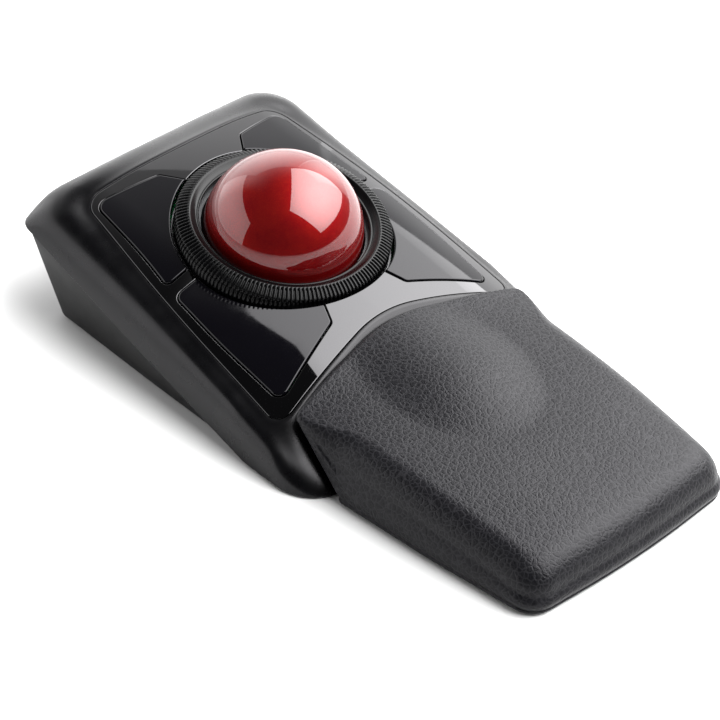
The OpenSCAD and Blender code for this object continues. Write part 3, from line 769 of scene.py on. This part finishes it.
def reached(faces, walls, corner):
    """The faces that can be reached from a corner without crossing a wall."""
    sides = [[frozenset((f[i - 1], f[i])) for i in range(len(f))] for f in faces]
    beside = {}
    for k, edges in enumerate(sides):
        for edge in edges:
            beside.setdefault(edge, []).append(k)
    todo = [k for k, f in enumerate(faces) if corner in f]
    found = set(todo)
    while todo:
        for edge in sides[todo.pop()]:
            if edge not in walls:
                new = set(beside[edge]) - found
                found |= new
                todo += new
    return [tuple(faces[k]) for k in sorted(found)]


def tile(outer, holes, top, bottom, edge=0.3, pitch=2.0):
    """A crowned plate with rounded top edges: outer loop clockwise, each hole loop clockwise."""
    loops = [(outer, -1)] + [(h, 1) for h in holes]
    parts, rims, steps, margin = [], [], 4, 0.7
    rings = [(0.0, bottom), (0.0, top - edge)]
    rings += [(edge * (1 - cos(a)), top - edge * (1 - sin(a)))
              for a in (pi / 2 * k / steps for k in range(1, steps + 1))]

    for loop, sign in loops:
        shapes = [(moved_out(loop, sign * d), w) for d, w in rings]
        skin = [on_crown(p, w) for p, w in shapes]
        parts.append(skinned(skin, low_cap=False, high_cap=False))
        rims.append((shapes[0][0], shapes[-1][0]))

    def filled(index, w):
        """The face within the lowest (0) or highest (1) rims, over a grid of free points."""
        edges, points = [], []
        for rim in rims:
            base = len(points)
            points += [tuple(p) for p in rim[index]]
            edges += [(base + i, base + (i + 1) % len(rim[index])) for i in range(len(rim[index]))]
        low, high = rims[0][index].min(0), rims[0][index].max(0)
        gx, gy = np.meshgrid(np.arange(low[0], high[0], pitch), np.arange(low[1], high[1], pitch))
        free = np.stack([gx.ravel(), gy.ravel()], 1)
        keep = inside(free, moved_out(rims[0][index], -margin))
        for rim in rims[1:]:
            keep &= ~inside(free, moved_out(rim[index], margin))
        points = [Vector(p) for p in points + list(free[keep])]
        verts, links, faces, _, sources, _ = delaunay_2d_cdt(points, edges, [], 1, 1e-6)
        rim_edges = {frozenset(link) for link, source in zip(links, sources) if source}
        flat = np.array([tuple(v) for v in verts])
        return on_crown(flat, w), reached(faces, rim_edges, int(flat[:, 0].argmin()))

    return joined(parts + [filled(1, top), filled(0, bottom)])


def crown_normals(obj, top):
    """Gives the crowned top calm, even normals, so that reflections run smoothly over it."""
    normals = []
    for vertex in obj.data.vertices:
        u, y, z = (c / MM for c in vertex.co)
        y, z = y - RING_Y, z - PLATE_Z
        v, w = y * cos(TILT) + z * sin(TILT), z * cos(TILT) - y * sin(TILT)
        below_top = top - (w - crown(u, v))
        if below_top < 0.004:
            flat_to = np.interp(v, SIDE_AT_V, SIDE_FROM_U) if u < 0 else SIDE_FROM_U[-1]
            steeper = np.sign(u) * SIDE_STEEPER * max(0, abs(u) - flat_to)
            steeper += np.interp(v, SIDE_AT_V, SIDE_TWIST) if u < 0 else 0
            nu, nv, nw = unit(np.array([u / GLOSS_RU + steeper, v / GLOSS_RV, 1]))
            normals.append((nu, nv * cos(TILT) - nw * sin(TILT), nv * sin(TILT) + nw * cos(TILT)))
        else:
            normals.append(tuple(vertex.normal) if below_top < 0.7 else (0, 0, 0))
    obj.data.normals_split_custom_set_from_vertices(normals)


def sealed(name, shape):
    """A mesh object whose coinciding border points are merged."""
    obj = mesh_object(name, *shape)
    bm = bmesh.new()
    bm.from_mesh(obj.data)
    bmesh.ops.remove_doubles(bm, verts=bm.verts, dist=0.02 * MM)
    bmesh.ops.recalc_face_normals(bm, faces=bm.faces)
    bm.to_mesh(obj.data)
    bm.free()
    return obj


POST_AT = {"lower": (35, -31), "upper": (35, 30)}
POST_FOOT_W = -9.25  # the posts end just over the switches' plungers
POST_R, POST_SIDES, POST_BURIED = 1.6, 24, 1.2
BUTTONS = [("upper_right", UPPER_BUTTON, True), ("lower_right", LOWER_BUTTON, True),
           ("lower_left", LOWER_BUTTON, False), ("upper_left", UPPER_BUTTON, False)]


def bezel():
    """The glossy plate, with one opening for the ring and the four buttons."""
    hole = []
    runs = [outside_circle(button_outline(shape, right, GAP), HOLE_R)
            for _, shape, right in BUTTONS]
    for run, nxt in zip(runs, runs[1:] + runs[:1]):
        hole += list(run) + list(arc_between(run[-1], nxt[0], HOLE_R))
    shape = tile(divided(outline(PLATE, -0.1)), [divided(np.array(hole))], 0, -PLATE_T, 0.4)
    obj = finished(sealed("bezel", shape), "case", MATERIAL["bezel"], ["bezel_plate"], 50)
    crown_normals(obj, 0)


def button(name, shape, right):
    """A crowned cap with the post under it that presses the switch."""
    inner = HOLE_R + GAP
    run = outside_circle(button_outline(shape, right), inner)
    loop = divided(np.array(list(run) + list(arc_between(run[-1], run[0], inner))))
    cap = sealed("button_" + name + "_cap", tile(loop, [], BUTTON_RISE, CAP_LIFT - PLATE_T, 0.55))
    u, v = POST_AT["lower" if "lower" in name else "upper"]
    turns = np.arange(POST_SIDES) * -2 * pi / POST_SIDES
    side = 1 if right else -1
    post = [on_plate((u + POST_R * np.cos(turns)) * side, v + POST_R * np.sin(turns), w)
            for w in (POST_FOOT_W, crown(u, v) - POST_BURIED)]
    cut(cap, [skinned(post if right else post[::-1])], "UNION")
    finished(cap, "button_" + name, MATERIAL["button"], ["button_" + name], 50)
    crown_normals(cap, BUTTON_RISE)


bezel()
for button_name, button_shape, on_right in BUTTONS:
    button(button_name, button_shape, on_right)


# ---- ball and scroll ring -----------------------------------------------------------------
TEETH = 152
TOOTH_DEPTH = 0.8
TOOTH = [1.0, 1.0, 1.0, 0.85, 0.12, 0.0, 0.0, 0.0, 0.12, 0.85]  # one tooth and its slot, all round
TEETH_FROM_R, TEETH_DOWN_TO = 33.0, -2.5
SLOPE_R, SLOPE_W, SLOPE_FALL = (33.2, 36.7), 1.9, 1.75
RING_FOOT_W = -7


def ball():
    """A sphere of even squares, drawn out from a cube's grid."""
    bm = bmesh.new()
    bmesh.ops.create_cube(bm, size=2)
    bmesh.ops.subdivide_edges(bm, edges=bm.edges, cuts=47, use_grid_fill=True)
    verts = np.array([v.co for v in bm.verts])
    faces = [tuple(v.index for v in f.verts) for f in bm.faces]
    bm.free()
    verts = np.tan(verts * pi / 4)
    verts = verts / np.linalg.norm(verts, axis=1)[:, None] * BALL_R
    centre = [0, (ball_high.y + ball_low.y) / 2 / MM, BALL_Z]
    return piece("ball", (verts + centre, faces), "ball", MATERIAL["ball"],
                 ["trackball"], 180)


def scroll_ring():
    """Turned ring: a dished inner band with a fine lip, and an outer slope cut into teeth."""
    r0 = RING_LIP_R
    lip = [(2, RING_FOOT_W), (2, -1.8), (0.3, -1.0), (0, -0.7), (0, 0.25), (0.12, 0.45),
           (0.35, 0.55), (0.6, 0.55), (0.8, 0.48)]
    dish = [(0.8 + 2.2 * t, 0.48 + 1.35 * t ** 1.4) for t in np.linspace(0.15, 1, 7)]
    crest = [(3.2, 1.93), (3.45, 1.98), (3.7, 1.96)]
    slope = [(SLOPE_R[0] + (SLOPE_R[1] - SLOPE_R[0]) * t, SLOPE_W - SLOPE_FALL * t ** 1.35)
             for t in np.linspace(0, 1, 10)]
    skirt = [(0.22, -0.15), (0.06, -0.5), (0, -1), (0, -2), (0, -2.6), (0, RING_FOOT_W)]
    profile = np.array([(r0 + r, w) for r, w in lip + dish + crest] + slope
                       + [(RING_R - r, w) for r, w in skirt])
    tangent = np.gradient(profile, axis=0)
    normal = np.stack([-tangent[:, 1], tangent[:, 0]], 1)
    normal /= np.linalg.norm(normal, axis=1)[:, None]
    cutting = np.clip((profile[:, 0] - TEETH_FROM_R) / 0.5, 0, 1) * (profile[:, 1] > TEETH_DOWN_TO)
    turns = np.arange(TEETH * len(TOOTH)) * -2 * pi / (TEETH * len(TOOTH))
    tooth = 1 - np.array(TOOTH * TEETH)
    rings = []
    for (r, w), (nr, nw), c in zip(profile, normal, cutting):
        depth = -TOOTH_DEPTH * c * tooth
        rr, ww = r + nr * depth, w + nw * depth
        rings.append(on_plate(rr * np.cos(turns), rr * np.sin(turns), ww))
    return piece("scroll_ring_knurled", skinned(rings, closed=True), "ring",
                 MATERIAL["ring"], ["scroll_ring"], 60)


ball()
scroll_ring()


# ---- wrist rest ---------------------------------------------------------------------------
REST_Z = 1.3  # underside of the leather
SIDE_LINE = smooth_line([(-FRONT_Y, 14.5), (-160, 15.6), (-150, 17.2), (-141, 18.4), (-124, 20.4),
                         (-107, 21.8), (-90, 22.3), (-75, 22.2), (-62, 22.5), (-50, 27)], 4)
MID_LINE = smooth_line([(-FRONT_Y, 16), (-160, 18), (-150, 19.8), (-141, 20.8), (-124, 22.6),
                        (-107, 23.8), (-95, 24.4), (-75, 25.6), (-62, 27), (-50, 29)], 4)
HALF_LINE = smooth_line([(-FRONT_Y, 46), (-122, 49), (-62, 53)], 3)
SWELL_H, SWELL_X, SWELL_Y, SWELL_BACK, SWELL_FRONT = 4.4, 28, -80, 44, 36
ROLL, BACK_ROLL = 8.5, 1.6  # radius of the edge's roll, all round and at the back
BACK_ROLL_FROM, BACK_ROLL_RUN = -80, 16
SIDE_PUFF = 0.9  # how far the sides bulge
REST_CENTRE = np.array([0, -108])
# the folded seam round the lower edge: outwards, up
WELT = [(-0.7, 0.0), (-0.15, 0.15), (0.0, 0.5), (-0.1, 0.9), (-0.3, 1.2)]


def swell(x, y):
    """Raised pad in the middle of the cushion, behind the palm."""
    reach = np.where(y > SWELL_Y, SWELL_BACK, SWELL_FRONT)
    e = np.sqrt((x / SWELL_X) ** 2 + ((y - SWELL_Y) / reach) ** 2)
    return SWELL_H * np.clip(1 - e ** 2.1, 0, 1) ** 1.7


def cushion_height(x, y):
    side, mid = SIDE_LINE(y), MID_LINE(y)
    across = np.clip(np.abs(x) / HALF_LINE(y), 0, 1)
    return side + (mid - side) * (1 - across ** 3) + swell(x, y)


def rest_cover():
    """Leather cover: bulging sides, rolled edges and a crowned top with its raised pad."""
    low, high = outline(REST_LOW), outline(REST_EDGE)
    inner = outline(REST_LOW, -2.4)
    back = eased((high[:, 1] - BACK_ROLL_FROM) / BACK_ROLL_RUN)
    roll = ROLL + (BACK_ROLL - ROLL) * back

    def raised(p, drop):
        return at_ring(p, cushion_height(p[:, 0], p[:, 1]) - drop)

    rings = [at_ring(inner, REST_Z), at_ring(inner, REST_Z - 0.2)]
    rings += [at_ring(outline(REST_LOW, d), REST_Z - 0.2 + dz) for d, dz in WELT]
    top_of_side = cushion_height(high[:, 0], high[:, 1]) - roll
    start = REST_Z + 1.3
    for t in np.linspace(0.06, 1, 14):
        puff = SIDE_PUFF * sin(pi * min(1, t * 1.05)) * (1 - back)
        flat = low + (high - low) * t + (moved_out(low, 1.0) - low) * puff[:, None]
        rings.append(at_ring(flat, start + t * (top_of_side - start)))
    for a in (pi / 2 * k / 10 for k in range(1, 11)):
        rings.append(raised(inset(high, roll * (1 - cos(a))), roll * (1 - sin(a))))
    last = inset(high, roll)
    for s in np.linspace(1, 0, 56)[1:-1]:
        rings.append(raised(REST_CENTRE + (last - REST_CENTRE) * s, 0))
    obj = mesh_object("rest_cover", *skinned(rings))
    return finished(obj, "wrist_rest", MATERIAL["leather"],
                    ["rest_leather", "rest_foam"], 60)


rest_cover()


# ---- floor, light and camera --------------------------------------------------------------
def floor():
    size = 6000
    low = cad_box[0].z / MM
    verts = [(-size, -size, low), (size, -size, low), (size, size, low), (-size, size, low)]
    obj = mesh_object("floor", verts, [(0, 1, 2, 3)])
    white = Shader("floor_white", (0.62, 0.62, 0.62), 0.9, Specular_IOR_Level=0.1)
    obj.data.materials.append(white.material)


def look_rotation(direction, roll=0.0):
    """Rotation that points -Z along a direction, with its X level and then rolled."""
    back = -unit(np.array(direction, float))
    right = unit(np.cross([0, 0, 1], back))
    up = np.cross(back, right)
    x = cos(roll) * right + sin(roll) * up
    y = -sin(roll) * right + cos(roll) * up
    return Matrix([[x[i], y[i], back[i]] for i in range(3)]).to_euler()


def panel(name, direction, distance, size, radiance, roll, edge, target):
    """A rectangular soft light, seen from the target in a direction, dimmer towards its edges."""
    light = bpy.data.lights.new(name, "AREA")
    light.shape = "RECTANGLE"
    light.size, light.size_y = size
    light.energy = radiance * pi * size[0] * size[1]
    light.use_nodes = True
    tree = light.node_tree
    emission = next(n for n in tree.nodes if n.type == "EMISSION")
    place = tree.nodes.new("ShaderNodeNewGeometry")
    from_middle = tree.nodes.new("ShaderNodeVectorMath")
    from_middle.operation = "DISTANCE"
    from_middle.inputs[1].default_value = (0.5, 0.5, 0)
    fall = tree.nodes.new("ShaderNodeMapRange")
    fall.inputs["From Min"].default_value, fall.inputs["From Max"].default_value = 0.12, 0.62
    fall.inputs["To Min"].default_value, fall.inputs["To Max"].default_value = 1.0, edge
    tree.links.new(place.outputs["Parametric"], from_middle.inputs[0])
    tree.links.new(from_middle.outputs["Value"], fall.inputs["Value"])
    tree.links.new(fall.outputs["Result"], emission.inputs["Strength"])
    obj = bpy.data.objects.new(name, light)
    d = unit(np.array(direction, float))
    obj.location = np.array(target) + d * distance
    obj.rotation_euler = look_rotation(-d, roll)
    bpy.context.scene.collection.objects.link(obj)


def sky():
    """A dark room with a faint glow behind the object, to the right and not too high."""
    world = bpy.data.worlds.new("studio")
    bpy.context.scene.world = world
    world.use_nodes = True
    tree = world.node_tree
    parts = tree.nodes.new("ShaderNodeSeparateXYZ")
    place = tree.nodes.new("ShaderNodeTexCoord")
    tree.links.new(place.outputs["Generated"], parts.inputs[0])
    glow = None
    for axis, low, high in (("X", -0.35, 0.0), ("Y", -0.1, 0.45), ("Z", 0.98, 0.55)):
        rise = tree.nodes.new("ShaderNodeMapRange")
        rise.interpolation_type = "SMOOTHSTEP"
        rise.inputs["From Min"].default_value = low
        rise.inputs["From Max"].default_value = high
        tree.links.new(parts.outputs[axis], rise.inputs["Value"])
        if glow:
            both = tree.nodes.new("ShaderNodeMath")
            both.operation = "MULTIPLY"
            tree.links.new(glow, both.inputs[0])
            tree.links.new(rise.outputs["Result"], both.inputs[1])
            glow = both.outputs[0]
        else:
            glow = rise.outputs["Result"]
    level = tree.nodes.new("ShaderNodeMath")
    level.operation = "MULTIPLY_ADD"
    level.inputs[1].default_value, level.inputs[2].default_value = 1.3, 0.06
    tree.links.new(glow, level.inputs[0])
    tree.links.new(level.outputs[0], tree.nodes["Background"].inputs["Strength"])
    tree.nodes["Background"].inputs["Color"].default_value = (1, 1, 1, 1)


def camera():
    """A long lens, from the front left and above."""
    data = bpy.data.cameras.new("camera")
    data.lens = 151.1
    data.sensor_width = 36
    data.clip_end = 20
    obj = bpy.data.objects.new("camera", data)
    azimuth, elevation, roll = radians(-45.72), radians(38.67), radians(2.87)
    obj.location = (-0.57170, -0.54797, 0.64366)
    towards = (-sin(azimuth) * cos(elevation), cos(azimuth) * cos(elevation), -sin(elevation))
    obj.rotation_euler = look_rotation(towards, roll)
    bpy.context.scene.collection.objects.link(obj)
    bpy.context.scene.camera = obj


bpy.context.scene.view_settings.view_transform = "Standard"
floor()
sky()
panel("softbox", (0.557, -0.363, 0.746), 1.25, (2.05, 1.58), 13.5, radians(-11), 0.5,
      (0, 0.049, 0.0375))
panel("reflector", (-0.616, 0.788, 0), 1.3, (2.34, 1.02), 3.0, 0, 0.8, (0, 0.049, 0.51))
panel("backdrop", (0.53, 0.848, 0), 1.3, (1.4, 1.5), 2.0, 0, 0.4, (0, 0.049, 0.6))
panel("side_wall", (0.97, 0.243, 0), 1.3, (0.78, 1.3), 3.0, 0, 0.4, (0, 0.049, 0.55))
camera()
